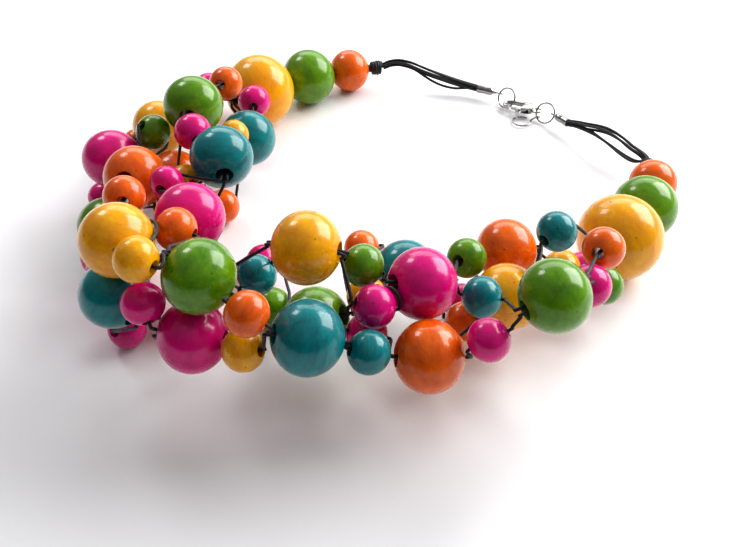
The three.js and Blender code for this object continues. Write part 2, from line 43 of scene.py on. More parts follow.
# ---- sizes, in millimetres ----------------------------------------------------------------------

CORD = 1.0
POLE_FLATNESS = 0.95  # a drilled ball is a little shorter along its hole
RIM = 0.35  # how far the lip of each hole is rounded

# diameter and hole of each size of ball, and how many flats it has round its hole
SIZES = {
    "little": {"diameter": 10.5, "hole": 3.2, "around": 48},
    "small": {"diameter": 12.0, "hole": 3.4, "around": 48},
    "large": {"diameter": 20.0, "hole": 5.4, "around": 64},
    "end_yellow": {"diameter": 28.0, "hole": 6.4, "around": 80},
    "end_green": {"diameter": 22.0, "hole": 5.6, "around": 64},
    "end_orange": {"diameter": 17.0, "hole": 5.2, "around": 56},
}

# where every ball lies: name, colour, size, x, y, z
BALLS = [
    ("right_orange", "orange", "end_orange", 95.5, 15, 8.5),
    ("right_green", "green", "end_green", 88.5, -3, 11),
    ("right_yellow", "yellow", "end_yellow", 75.5, -23.5, 14),
    ("a1", "orange", "small", 59, -63.5, 41), ("a2", "pink", "small", 54, -74, 36.5),
    ("a3", "green", "small", 65.5, -49, 15.5), ("a4", "teal", "small", 48.5, -50.5, 37),
    ("a5", "yellow", "small", 53, -45, 18.5), ("a6", "pink", "small", 61, -38, 12),
    ("A1", "green", "large", 42.5, -84.5, 42), ("A2", "orange", "large", 37.5, -34, 17),
    ("A3", "yellow", "large", 35, -59.5, 20),
    ("b1", "green", "small", 23.5, -49, 26), ("b2", "teal", "small", 26, -70, 29),
    ("b3", "pink", "small", 25.5, -91.5, 33), ("b4", "orange", "small", 23, -58, 9),
    ("b5", "pink", "small", 23.5, -46, 6), ("b6", "yellow", "small", 16, -74, 13),
    ("B1", "pink", "large", 9, -72.5, 36), ("B2", "orange", "large", 10.5, -90, 25.5),
    ("B3", "teal", "large", 5.5, -44.5, 17),
    ("c1", "orange", "small", -7.5, -30, 14.5), ("c2", "green", "small", -7, -69, 39.5),
    ("c3", "pink", "small", -4, -82.5, 36.5), ("c4", "teal", "small", -5.5, -94, 31),
    ("c5", "yellow", "small", -6, -64, 24), ("c6", "pink", "small", -6, -79, 23.5),
    ("C1", "yellow", "large", -22, -71.5, 47.5), ("C2", "green", "large", -20.5, -66, 16.5),
    ("C3", "teal", "large", -21, -95.5, 37.5),
    ("d1", "pink", "small", -39.5, -26.5, 6), ("d2", "teal", "small", -37.5, -59, 28),
    ("d3", "green", "small", -35, -48, 6), ("d4", "orange", "small", -35.5, -97, 47),
    ("d5", "yellow", "small", -38, -92.5, 30.5), ("d6", "pink", "small", -47, -71.5, 39.5),
    ("D1", "green", "large", -48.5, -85, 49), ("D2", "pink", "large", -52.5, -84.5, 27.5),
    ("D3", "orange", "large", -57.5, -45, 12.5),
    ("e1", "yellow", "small", -63, -87.5, 56.5), ("e2", "orange", "small", -57, -66, 49.5),
    ("e3", "pink", "small", -64.5, -83.5, 38.5), ("e4", "pink", "small", -78, -58, 6),
    ("e5", "teal", "small", -55.5, -66.5, 32), ("e6", "green", "small", -59, -72, 19),
    ("E1", "yellow", "large", -71, -74, 52), ("E2", "pink", "large", -56, -51, 42.5),
    ("E3", "teal", "large", -75, -72, 32),
    ("f1", "orange", "small", -74, -49.5, 48.5), ("f2", "yellow", "small", -77.5, -42.5, 38),
    ("f3", "teal", "small", -57.5, -30.5, 22), ("f4", "pink", "little", -67, -26, 37),
    ("f5", "orange", "small", -78, -58.5, 20.5), ("f6", "green", "small", -82.5, -51, 30),
    ("F1", "orange", "large", -79.5, -15, 31.5), ("F2", "teal", "large", -51.5, -14, 38.5),
    ("F3", "pink", "large", -82, -41.5, 15.5),
    ("g1", "pink", "small", -62, -1.5, 40), ("g2", "green", "small", -78, 12, 31.5),
    ("g3", "teal", "small", -69, -17, 17.5), ("g4", "yellow", "little", -64, -13, 29),
    ("g5", "pink", "small", -91.5, -29, 10), ("g6", "orange", "small", -79.5, -25.5, 7.5),
    ("G1", "orange", "large", -70, -0.5, 20.5), ("G2", "green", "large", -64, 15, 40),
    ("G3", "green", "large", -92, -12.5, 10),
    ("h1", "yellow", "little", -51.5, 16.5, 27.5), ("h2", "orange", "small", -56, 4.5, 6),
    ("h3", "pink", "small", -98, 10, 6), ("h4", "pink", "small", -76, 10.5, 10),
    ("h5", "orange", "small", -56, 39, 35), ("h6", "green", "small", -64, 42, 25),
    ("H1", "teal", "large", -48.5, 29, 18.5), ("H2", "pink", "large", -92, 6.5, 24.5),
    ("i1", "pink", "small", -48, 51.5, 20.5), ("i2", "pink", "small", -46.5, 45, 10),
    ("i3", "orange", "small", -92.5, 44.5, 6), ("i4", "teal", "small", -88.5, 21, 14),
    ("I1", "yellow", "large", -82, 38.5, 17),
    ("j1", "pink", "small", -69.5, 81.5, 9.5), ("j2", "yellow", "small", -56.5, 51, 6),
    ("left_yellow", "yellow", "end_yellow", -48, 71, 14),
    ("left_green", "green", "end_green", -29.5, 87.5, 11),
    ("left_orange", "orange", "end_orange", -13, 97.5, 8.5),
]

# the balls on each cord between the two yellow end balls
STRINGS = [["right_yellow", *names.split(), "left_yellow"] for names in (
    "a1 A1 b2 B1 c2 C1 d2 D2 e3 E2 f3 F2 g1 G2 h5",
    "a2 A1 b3 B2 c4 C3 d4 D1 e2 E1 f1 F1 g2 G1 h1 H1 i1",
    "a5 A2 b1 B1 c3 C1 d6 D1 e1 E1 f2 F1 g3 G1 h2 H1 i2",
    "a6 A2 b5 B3 c5 C2 d3 D3 e5 E2 f4 F2 g4 G2 h6",
    "a4 A3 b4 B3 c1 C2 d1 D3 e4 E3 f5 F3 g5 G3 h3 H2 i3 I1 j1",
    "a3 A3 b6 B2 c6 C3 d5 D2 e6 E3 f6 F3 g6 G3 h4 H2 i4 I1 j2",
)]

KNOTS = {"left": Vector((-1.8, 99.8, 8.5)), "right": Vector((96.5, 26.2, 8))}

# The routes of the bare neck cords. Most cords lie together in the first route of each side, and
# single ones hang apart from it.
NECK_RUNS = {
    "left": [
        [
            (1.0, 100.4, 8.8), (4, 101.1, 9.8), (8, 100.6, 10.5), (12.5, 98.6, 10.5),
            (17, 96.6, 9.5), (21, 95.3, 8.4), (25, 94.5, 7.2), (30.5, 93.5, 5.6),
            (35.5, 92.3, 4.5), (40.0, 90.6, 4.0),
        ],
        [
            (1.0, 100.4, 8.8), (8, 100.2, 9.9), (14, 96.9, 9.3), (18, 94.6, 7.6),
            (21.5, 94.4, 5.3), (26, 94.2, 3.2), (31, 92.9, 2.7), (35.5, 91.9, 3.4),
            (40.0, 90.6, 4.0),
        ],
    ],
    "right": [
        [
            (96.5, 29.4, 8.3), (95.8, 31.2, 8.8), (94.1, 33.0, 9.5), (91.5, 35.4, 10.3),
            (89.3, 38.6, 11), (87.0, 42.2, 11.2), (84.6, 46.4, 10.6), (82, 50.4, 9.3),
            (79, 54.6, 7.6), (76.2, 58.6, 6.1), (73.3, 61.3, 5.0),
        ],
        [
            (96.5, 29.4, 8.3), (95.2, 31.0, 8.2), (93.0, 32.6, 7.9), (90.9, 35.9, 7.6),
            (88.6, 39.8, 7.5), (86, 43.6, 7.8), (83.4, 47.2, 8), (80.6, 51.6, 7.6),
            (76.2, 58.2, 6.1), (73.3, 61.3, 5.0),
        ],
        [
            (96.5, 29.4, 8.3), (95.2, 30.5, 7.7), (93.0, 31.6, 6.6), (91.2, 35.0, 5.4),
            (89.2, 40.6, 4.4), (86.4, 44.8, 5.2), (83.2, 48.6, 6.3), (79.6, 53.2, 6.9),
            (76.2, 58.0, 6.1), (73.3, 61.3, 5.0),
        ],
    ],
}

# ---- camera -------------------------------------------------------------------------------------


def add_camera():
    bpy.ops.object.camera_add(
        location=(-6.5 * MM, -282 * MM, 213.4 * MM),
        rotation=(math.radians(90 - 39.69), 0, 0),
    )
    camera = bpy.context.object
    camera.name = "table_camera"
    camera.data.lens = 50
    camera.data.sensor_width = 36
    camera.data.clip_start = 0.01
    bpy.context.scene.camera = camera


# ---- materials ----------------------------------------------------------------------------------


def node_group(name, inputs, outputs):
    """An empty shader group with float, colour or vector sockets, and its two end nodes."""
    group = bpy.data.node_groups.new(name, "ShaderNodeTree")
    for label, kind, value in inputs:
        socket = group.interface.new_socket(label, in_out="INPUT", socket_type=kind)
        socket.default_value = value
    for label, kind in outputs:
        group.interface.new_socket(label, in_out="OUTPUT", socket_type=kind)
    return group, group.nodes.new("NodeGroupInput"), group.nodes.new("NodeGroupOutput")


def link(tree, source, target):
    tree.links.new(source, target)


def noise(tree, vector, scale, detail, roughness=0.5):
    node = tree.nodes.new("ShaderNodeTexNoise")
    node.inputs["Scale"].default_value = scale
    node.inputs["Detail"].default_value = detail
    node.inputs["Roughness"].default_value = roughness
    link(tree, vector, node.inputs["Vector"])
    return node.outputs["Fac"]


def ramp(tree, value, low, high):
    node = tree.nodes.new("ShaderNodeMapRange")
    node.inputs["From Min"].default_value = low
    node.inputs["From Max"].default_value = high
    link(tree, value, node.inputs["Value"])
    return node.outputs["Result"]


def stretched(tree, vector, scale):
    node = tree.nodes.new("ShaderNodeMapping")
    node.inputs["Scale"].default_value = scale
    link(tree, vector, node.inputs["Vector"])
    return node.outputs["Vector"]


def turned_wood_group():
    """Grain that runs across the hole of each ball, open pores and small pits under the lacquer."""
    group, start, end = node_group(
        "turned_wood",
        [("Grain Strength", "NodeSocketFloat", 1.0)],
        [(label, "NodeSocketFloat") for label in ("Streaks", "Pits", "Height")],
    )
    place = group.nodes.new("ShaderNodeAttribute")
    place.attribute_name = "turned_place"
    vector = place.outputs["Vector"]
    wide = noise(group, stretched(group, vector, (0.05, 0.35, 0.35)), 1.0, 3.0)
    fine = noise(group, stretched(group, vector, (0.12, 1.6, 1.6)), 1.0, 4.0, 0.65)
    both = group.nodes.new("ShaderNodeMix")
    both.inputs["Factor"].default_value = 0.45
    link(group, wide, both.inputs[2])
    link(group, fine, both.inputs[3])
    spread = ramp(group, both.outputs[0], 0.34, 0.68)
    strength = group.nodes.new("ShaderNodeMath")
    strength.operation = "MULTIPLY"
    link(group, spread, strength.inputs[0])
    link(group, start.outputs["Grain Strength"], strength.inputs[1])
    link(group, strength.outputs[0], end.inputs["Streaks"])

    cells = group.nodes.new("ShaderNodeTexVoronoi")
    cells.inputs["Scale"].default_value = 0.42
    link(group, vector, cells.inputs["Vector"])
    dots = ramp(group, cells.outputs["Distance"], 0.13, 0.06)
    sparse = ramp(group, noise(group, vector, 0.16, 1.0), 0.52, 0.6)
    pits = group.nodes.new("ShaderNodeMath")
    pits.operation = "MULTIPLY"
    link(group, dots, pits.inputs[0])
    link(group, sparse, pits.inputs[1])
    link(group, pits.outputs[0], end.inputs["Pits"])

    ripple = noise(group, vector, 0.5, 2.0)
    height = group.nodes.new("ShaderNodeMath")
    height.operation = "SUBTRACT"
    link(group, ripple, height.inputs[0])
    link(group, pits.outputs[0], height.inputs[1])
    link(group, height.outputs[0], end.inputs["Height"])
    return group


def new_material(name):
    material = bpy.data.materials.new(name)
    material.use_nodes = True
    shader = material.node_tree.nodes["Principled BSDF"]
    return material, material.node_tree, shader


def bump(tree, shader, height, strength, distance):
    node = tree.nodes.new("ShaderNodeBump")
    node.inputs["Strength"].default_value = strength
    node.inputs["Distance"].default_value = distance
    link(tree, height, node.inputs["Height"])
    link(tree, node.outputs["Normal"], shader.inputs["Normal"])


def mixed(tree, factor, first, second):
    node = tree.nodes.new("ShaderNodeMix")
    node.data_type = "RGBA"
    link(tree, factor, node.inputs["Factor"])
    for socket, value in ((node.inputs[6], first), (node.inputs[7], second)):
        if isinstance(value, tuple):
            socket.default_value = (*value, 1)
        else:
            link(tree, value, socket)
    return node.outputs[2]


def lacquer(name, light, deep, wood):
    """Stained and lacquered wood: the stain lies darker in the open grain and in small pits."""
    material, tree, shader = new_material(name)
    grain = tree.nodes.new("ShaderNodeGroup")
    grain.node_tree = wood
    stain = mixed(tree, grain.outputs["Streaks"], light, deep)
    pit_colour = tuple(channel * 0.25 for channel in deep)
    colour = mixed(tree, grain.outputs["Pits"], stain, pit_colour)
    link(tree, colour, shader.inputs["Base Color"])
    rough = tree.nodes.new("ShaderNodeMapRange")
    rough.inputs["To Min"].default_value = 0.22
    rough.inputs["To Max"].default_value = 0.32
    link(tree, grain.outputs["Streaks"], rough.inputs["Value"])
    link(tree, rough.outputs["Result"], shader.inputs["Roughness"])
    shader.inputs["Coat Weight"].default_value = 0.5
    shader.inputs["Coat Roughness"].default_value = 0.09
    shader.inputs["Specular IOR Level"].default_value = 0.25
    bump(tree, shader, grain.outputs["Height"], 0.25, 0.0001)
    return material


def waxed_cotton():
    """Charcoal cord: fine twisted fibres under a thin, slightly shiny coat of wax."""
    material, tree, shader = new_material("waxed_cotton")
    place = tree.nodes.new("ShaderNodeTexCoord").outputs["Object"]
    fibres = noise(tree, place, 2600.0, 4.0, 0.7)
    patches = ramp(tree, noise(tree, place, 420.0, 2.0), 0.35, 0.7)
    colour = mixed(tree, patches, (0.006, 0.006, 0.008), (0.022, 0.022, 0.026))
    link(tree, colour, shader.inputs["Base Color"])
    link(tree, ramp(tree, patches, -1.2, 1.6), shader.inputs["Roughness"])
    shader.inputs["Sheen Weight"].default_value = 0.08
    bump(tree, shader, fibres, 0.5, 0.00012)
    return material


def bright_nickel():
    """Plated metal with faint polishing marks."""
    material, tree, shader = new_material("bright_nickel")
    place = tree.nodes.new("ShaderNodeTexCoord").outputs["Object"]
    marks = noise(tree, stretched(tree, place, (600, 2200, 2200)), 1.0, 3.0)
    colour = mixed(tree, marks, (0.27, 0.265, 0.26), (0.42, 0.41, 0.40))
    link(tree, colour, shader.inputs["Base Color"])
    shader.inputs["Metallic"].default_value = 1.0
    rough = tree.nodes.new("ShaderNodeMapRange")
    rough.inputs["To Min"].default_value = 0.12
    rough.inputs["To Max"].default_value = 0.26
    link(tree, marks, rough.inputs["Value"])
    link(tree, rough.outputs["Result"], shader.inputs["Roughness"])
    bump(tree, shader, marks, 0.08, 0.00005)
    return material


def make_materials():
    wood = turned_wood_group()
    table = {
        "orange": ((0.90, 0.165, 0.001), (0.58, 0.07, 0.001)),
        "green": ((0.15, 0.33, 0.001), (0.05, 0.17, 0.001)),
        "yellow": ((0.92, 0.46, 0.001), (0.70, 0.25, 0.001)),
        "pink": ((0.80, 0.002, 0.25), (0.50, 0.001, 0.12)),
        "teal": ((0.001, 0.25, 0.26), (0.001, 0.11, 0.13)),
    }
    materials = {}
    for colour, (light, deep) in table.items():
        materials[colour] = lacquer(f"{colour}_lacquer", light, deep, wood)
    materials["cord"] = waxed_cotton()
    materials["nickel"] = bright_nickel()
    return materials


# ---- helpers for modelling ----------------------------------------------------------------------


def clear_selection():
    if bpy.context.object and bpy.context.object.mode != "OBJECT":
        bpy.ops.object.mode_set(mode="OBJECT")
    bpy.ops.object.select_all(action="DESELECT")


def pick(obj):
    clear_selection()
    obj.select_set(True)
    bpy.context.view_layer.objects.active = obj


def pick_vertices(obj, test):
    """Selects the vertices that pass a test, and leaves the object in edit mode."""
    bpy.ops.object.mode_set(mode="EDIT")
    bpy.ops.mesh.select_mode(type="VERT")
    bpy.ops.mesh.select_all(action="DESELECT")
    bpy.ops.object.mode_set(mode="OBJECT")
    for vertex in obj.data.vertices:
        vertex.select = test(vertex.co)
    bpy.ops.object.mode_set(mode="EDIT")


def finish_piece(obj, name, material, body="necklace", nodes=()):
    obj.name = name
    obj.data.name = name
    obj.data.materials.clear()
    obj.data.materials.append(material)
    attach(obj, body)
    if nodes:
        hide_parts(*nodes)
    return obj


def axis_matrix(axis, centre):
    """Turns +Z to an axis and moves the origin to a place in millimetres."""
    turn = Vector((0, 0, 1)).rotation_difference(axis).to_matrix().to_4x4()
    return Matrix.Translation(centre * MM) @ turn


def copy_of(master, name):
    obj = bpy.data.objects.new(name, master.data.copy())
    bpy.context.scene.collection.objects.link(obj)
    return obj


# ---- the layout of balls and cords --------------------------------------------------------------

UP = Vector((0, 0, 1))
PAIR_SPREAD = 0.85  # two cords side by side in a large ball
END_SPREAD = 1.5  # six cords in a ring in an end ball
CORD_STEP = 1.8
SETTLING_ROUNDS = 120


class Ball:
    def __init__(self, name, colour, size, x, y, z):
        self.name = name
        self.colour = colour
        self.size = size
        self.centre = Vector((x, y, z))
        self.diameter = SIZES[size]["diameter"]
        self.hole = SIZES[size]["hole"]
        self.aim = Vector((0, 0, 0))


def lay_out_balls():
    balls = {row[0]: Ball(*row) for row in BALLS}
    for names in STRINGS:
        for before, name, after in zip(names, names[1:], names[2:]):
            ball = balls[name]
            ball.aim += (balls[after].centre - ball.centre).normalized()
            ball.aim -= (balls[before].centre - ball.centre).normalized()
    runs = (
        [KNOTS["right"], "right_orange", "right_green", "right_yellow"],
        ["left_yellow", "left_green", "left_orange", KNOTS["left"]],
    )
    for run in runs:
        places = [balls[item].centre if isinstance(item, str) else item for item in run]
        for i, item in enumerate(run):
            if isinstance(item, str):
                balls[item].aim = places[min(i + 1, 3)] - places[max(i - 1, 0)]
    for ball in balls.values():
        ball.axis = ball.aim.normalized()
        ball.side = UP.cross(ball.axis).normalized()
    return balls


def pull(balls, names, name):
    """The way a cord's neighbours pull it sideways in a ball."""
    ball = balls[name]
    at = names.index(name)
    total = Vector((0, 0, 0))
    for other in (at - 1, at + 1):
        if 0 <= other < len(names):
            total += (balls[names[other]].centre - ball.centre).normalized()
    return total - ball.axis * total.dot(ball.axis)


def cord_place(balls, name, cord):
    """Two cords share a large ball side by side; the six in an end ball stand in a ring."""
    ball = balls[name]
    users = [i for i, names in enumerate(STRINGS) if name in names]
    if len(users) == 1:
        return Vector((0, 0, 0))
    if len(users) == 2:
        other = users[0] if users[1] == cord else users[1]
        apart = pull(balls, STRINGS[cord], name) - pull(balls, STRINGS[other], name)
        return apart.normalized() * PAIR_SPREAD
    rise = ball.axis.cross(ball.side)

    def angle_of(i):
        way = pull(balls, STRINGS[i], name)
        return math.atan2(way.dot(rise), way.dot(ball.side))

    users.sort(key=angle_of)
    turn = angle_of(users[0]) + users.index(cord) * math.tau / len(users)
    return ball.side * (END_SPREAD * math.cos(turn)) + rise * (END_SPREAD * math.sin(turn))


class Stop:
    def __init__(self, balls, name, cord):
        ball = balls[name]
        half = POLE_FLATNESS * ball.diameter / 2 - 0.2
        middle = ball.centre + cord_place(balls, name, cord)
        self.ball = ball
        self.cord = cord
        self.entry = middle - ball.axis * half
        self.exit = middle + ball.axis * half


def bow(start, end):
    reach = min(4.0, max(1.0, 0.4 * (start.exit - end.entry).length))
    handles = (start.exit + start.ball.axis * reach, end.entry - end.ball.axis * reach)
    fine = interpolate_bezier(start.exit, *handles, end.entry, 40)
    length = sum((b - a).length for a, b in zip(fine, fine[1:]))
    steps = max(2, math.ceil(length / CORD_STEP))
    return [Vector(p) for p in interpolate_bezier(start.exit, *handles, end.entry, steps + 1)]


def settle(slack, stops, balls):
    """Smooths the slack cords while every ball and every other cord pushes them clear."""
    everything = [(point, run["cord"]) for run in slack for point in run["points"]]
    for stop in stops:
        everything += [(stop.entry.lerp(stop.exit, step / 10), stop.cord) for step in range(11)]
    free = []
    for run in slack:
        points = run["points"]
        for before, point, after in zip(points, points[1:], points[2:]):
            near = [
                (b, b in run["ends"]) for b in balls.values()
                if (b.centre - point).length < b.diameter / 2 + 8
            ]
            others = [q for q, cord in everything if cord != run["cord"] and (q - point).length < 6]
            free.append((point, before, after, near, others))
    for turn in range(SETTLING_ROUNDS):
        smoothing = 0.3 if turn < 0.7 * SETTLING_ROUNDS else 0.05
        for point, before, after, near, others in free:
            point += ((before + after) / 2 - point) * smoothing
            for ball, own in near:
                away = point - ball.centre
                if own:
                    height = away.dot(ball.axis)
                    across = math.sqrt(max(0.0, away.length_squared - height * height))
                    if across < ball.hole / 2 - 0.6:
                        continue
                least = ball.diameter / 2 + CORD / 2 + 0.35
                distance = away.length
                if 0 < distance < least:
                    point += away * (0.8 * (least - distance) / distance)
            for other in others:
                away = point - other
                distance = away.length
                if 0 < distance < 1.6 * CORD:
                    point += away * (0.4 * (1.6 * CORD - distance) / distance)
            point.z = max(point.z, 0.6 * CORD)


def cord_routes(balls):
    rows = [[Stop(balls, name, cord) for name in names] for cord, names in enumerate(STRINGS)]
    slack = []
    for cord, row in enumerate(rows):
        for start, end in zip(row, row[1:]):
            slack.append({"cord": cord, "ends": (start.ball, end.ball), "points": bow(start, end)})
    settle(slack, [stop for row in rows for stop in row], balls)
    routes = []
    for cord, row in enumerate(rows):
        points = [row[0].exit - row[0].ball.axis * 5]
        for run in slack:
            if run["cord"] == cord:
                points += run["points"]
        points.append(row[-1].entry + row[-1].ball.axis * 5)
        routes.append(points)
    return routes


# ---- balls --------------------------------------------------------------------------------------


def ball_master(size):
    """One drilled and lacquered ball, its hole along Z, with softly broken rims."""
    spec = SIZES[size]
    radius = spec["diameter"] / 2 * MM
    hole = spec["hole"] / 2 * MM
    opening = math.asin(hole / radius)
    rings = round(4 * math.pi / opening)
    clear_selection()
    bpy.ops.mesh.primitive_uv_sphere_add(segments=spec["around"], ring_count=rings, radius=radius)
    obj = bpy.context.object
    edge = radius * math.sin(4 * math.pi / rings)
    pick_vertices(obj, lambda co: math.hypot(co.x, co.y) < 0.97 * edge)
    bpy.ops.mesh.delete(type="VERT")
    bpy.ops.mesh.select_all(action="SELECT")
    bpy.ops.transform.resize(value=(1, 1, POLE_FLATNESS))
    bpy.ops.mesh.select_all(action="DESELECT")
    bpy.ops.mesh.select_mode(type="EDGE")
    bpy.ops.mesh.select_non_manifold()
    bpy.ops.mesh.bridge_edge_loops(number_cuts=3)
    bpy.ops.object.mode_set(mode="OBJECT")
    pick_vertices(obj, lambda co: abs(math.hypot(co.x, co.y) - edge) < 1e-6
                  and abs(co.z) > 0.9 * POLE_FLATNESS * radius * math.cos(4 * math.pi / rings))
    bpy.ops.mesh.bevel(offset=RIM * MM, segments=4, affect="EDGES")
    bpy.ops.mesh.select_all(action="SELECT")
    bpy.ops.mesh.normals_make_consistent(inside=False)
    bpy.ops.object.mode_set(mode="OBJECT")
    bpy.ops.object.shade_smooth()
    return obj


def mark_grain(mesh, number):
    """Keeps each point's place on its own ball, so that the grain turns with the ball."""
    shift = Vector((17.3 * number, 31.7 * number % 97, 11.9 * number % 53))
    place = mesh.attributes.new("turned_place", "FLOAT_VECTOR", "POINT")
    for vertex, item in zip(mesh.vertices, place.data):
        item.vector = vertex.co / MM + shift


def add_balls(balls, materials):
    masters = {size: ball_master(size) for size in SIZES}
    cad_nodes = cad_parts
    for number, ball in enumerate(balls.values()):
        obj = copy_of(masters[ball.size], f"ball_{ball.name}")
        spin = Matrix.Rotation(2.4 * number, 4, "Z")
        mark_grain(obj.data, number)
        obj.data.transform(axis_matrix(ball.axis, ball.centre) @ spin)
        kind = {"little": "small_ball", "small": "small_ball", "large": "large_ball"}.get(
            ball.size, "end_ball")
        node = f"{kind}_{ball.name}"
        nodes = (node,) if node in cad_nodes else ()
        finish_piece(obj, f"ball_{ball.name}", materials[ball.colour],
                     nodes=nodes)
    for master in masters.values():
        bpy.data.objects.remove(master)


# ---- cords --------------------------------------------------------------------------------------


def cord_curve(name, points, diameter):
    """A round cord along a list of points in millimetres, as a curve with one open spline."""
    curve = bpy.data.curves.new(name, "CURVE")
    curve.dimensions = "3D"
    curve.bevel_depth = diameter / 2 * MM
    curve.bevel_resolution = 2
    curve.use_fill_caps = True
    spline = curve.splines.new("POLY")
    spline.points.add(len(points) - 1)
    for item, point in zip(spline.points, points):
        item.co = (*(point * MM), 1)
    spline.use_smooth = True
    obj = bpy.data.objects.new(name, curve)
    bpy.context.scene.collection.objects.link(obj)
    return obj


def smooth_path(points, steps_between):
    """A flowing path through every point, by Catmull and Rom's rule."""
    rounded = []
    last = len(points) - 1
    for i in range(last):
        before, a, b, after = (points[min(max(k, 0), last)] for k in (i - 1, i, i + 1, i + 2))
        rounded += interpolate_bezier(a, a + (b - before) / 6, b - (after - a) / 6, b,
                                      steps_between + 1)[:-1]
    return [Vector(p) for p in rounded] + [points[-1]]


def add_threads(routes, materials):
    for number, points in enumerate(routes, 1):
        obj = cord_curve(f"thread_{number}", smooth_path(points, 3), CORD)
        finish_piece(obj, f"thread_{number}", materials["cord"],
                     nodes=(f"ball_string_{number}",))


def add_neck_cords(materials):
    """Six single cords a side. Most stand in a loose ring round the main route, and the last hangs
    below it. On the right the fifth has a route of its own too."""
    for side, runs in NECK_RUNS.items():
        main, single = runs[0], runs[1:]
        for strand in range(6):
            route = single[-1] if strand == 5 else main
            if strand == 4 and len(single) == 2:
                route = single[0]
            points = smooth_path([Vector(p) for p in route], 3)
            count = len(points) - 1
            placed = []
            for i, point in enumerate(points):
                way = (points[min(i + 1, count)] - points[max(i - 1, 0)]).normalized()
                across = UP.cross(way).normalized()
                rise = way.cross(across)
                apart = 0.98 + 0.2 * math.sin(math.pi * i / count)
                turn = math.tau * strand / 5 + 0.9 * i / count
                if strand == 5:
                    apart = 0
                placed.append(point + across * (apart * math.cos(turn))
                              + rise * (apart * math.sin(turn)))
            name = f"neck_cord_{side}_{strand + 1}"
            obj = cord_curve(name, placed, CORD)
            finish_piece(obj, name, materials["cord"], nodes=(f"neck_cords_{side}",))


# ---- knots --------------------------------------------------------------------------------------


def add_knots(balls, materials):
    """A barrel knot of the gathered cords, and the cords inside the end balls."""
    for side, centre in KNOTS.items():
        line = [balls[f"{side}_{colour}"].centre for colour in ("orange", "green", "yellow")]
        away = (centre - line[0]).normalized()
        level = UP.cross(away).normalized()
        rise = away.cross(level)
        wraps = []
        turns = 4.2
        for i in range(101):
            t = i / 100
            angle = math.tau * turns * t
            belly = 2.1 + 0.35 * math.sin(math.pi * t) + 0.12 * math.sin(2.3 * angle)
            along = 4.0 * (t - 0.5) + 0.25 * math.sin(angle)
            wraps.append(centre + away * along + level * (belly * math.cos(angle))
                         + rise * (belly * math.sin(angle)))
        tuck_in = centre - away * 2.2 + level * 0.8
        tuck_out = centre + away * 2.3 - level * 0.6
        knot = cord_curve(f"knot_{side}", smooth_path([tuck_in, *wraps, tuck_out], 1), 1.15)
        finish_piece(knot, f"knot_{side}", materials["cord"],
                     nodes=(f"cord_knot_{side}",))
        onward = (line[2] - line[1]).normalized() * 4
        route = smooth_path([centre, *line, line[2] + onward], 8)
        core = cord_curve(f"gathered_cords_{side}", route, 3.2)
        finish_piece(core, f"gathered_cords_{side}", materials["cord"])


# ---- metal --------------------------------------------------------------------------------------

RING = {"radius": 4.0, "wire": 0.7}
RINGS = {
    "left": {"centre": Vector((51.4, 82.9, 3.9)), "normal": Vector((-0.656, -0.58, 0.482))},
    "right": {"centre": Vector((65.6, 70.8, 3.95)), "normal": Vector((-0.574, -0.63, 0.523))},
}


def on_ring(ring, degrees):
    """A point on a jump ring's wire, turned from its level right-hand side towards its top."""
    turn = math.radians(degrees)
    normal = ring["normal"].normalized()
    level = UP.cross(normal).normalized()
    rise = normal.cross(level).normalized()
    return ring["centre"] + (level * math.cos(turn) + rise * math.sin(turn)) * RING["radius"]


CORD_ENDS = {
    "left": {"start": Vector((40.4, 90.4, 4.0)), "ring": "left", "turn": 175},
    "right": {"start": Vector((73.1, 61.7, 4.9)), "ring": "right", "turn": 10},
}


def add_jump_rings(materials):
    for side, ring in RINGS.items():
        clear_selection()
        bpy.ops.mesh.primitive_torus_add(
            major_radius=RING["radius"] * MM, minor_radius=RING["wire"] / 2 * MM,
            major_segments=96, minor_segments=14,
        )
        obj = bpy.context.object
        cut = math.radians(1.2)
        pick_vertices(obj, lambda co: abs(math.atan2(co.y, -co.x)) < cut)
        bpy.ops.mesh.delete(type="VERT")
        bpy.ops.mesh.select_mode(type="EDGE")
        bpy.ops.mesh.select_non_manifold()
        bpy.ops.mesh.fill_holes(sides=20)
        bpy.ops.object.mode_set(mode="OBJECT")
        bpy.ops.object.shade_smooth_by_angle(angle=math.radians(50))
        obj.data.transform(axis_matrix(ring["normal"].normalized(), ring["centre"]))
        finish_piece(obj, f"jump_ring_wire_{side}", materials["nickel"],
                     nodes=(f"jump_ring_{side}",))


def turned_tube(profile, segments):
    """Draws a closed ring of edges out along Z, from one (radius, height) pair to the next."""
    clear_selection()
    radius, height = profile[0]
    bpy.ops.mesh.primitive_circle_add(vertices=segments, radius=radius * MM,
                                      location=(0, 0, height * MM))
    obj = bpy.context.object
    bpy.ops.object.transform_apply(location=True, rotation=False, scale=False)
    bpy.ops.object.mode_set(mode="EDIT")
    bpy.ops.mesh.select_all(action="SELECT")
    for (r0, h0), (r1, h1) in zip(profile, profile[1:]):
        bpy.ops.mesh.extrude_region_move(
            TRANSFORM_OT_translate={"value": (0, 0, (h1 - h0) * MM)})
        bpy.ops.transform.resize(value=(r1 / r0, r1 / r0, 1), center_override=(0, 0, h1 * MM))
    bpy.ops.object.mode_set(mode="OBJECT")
    return obj


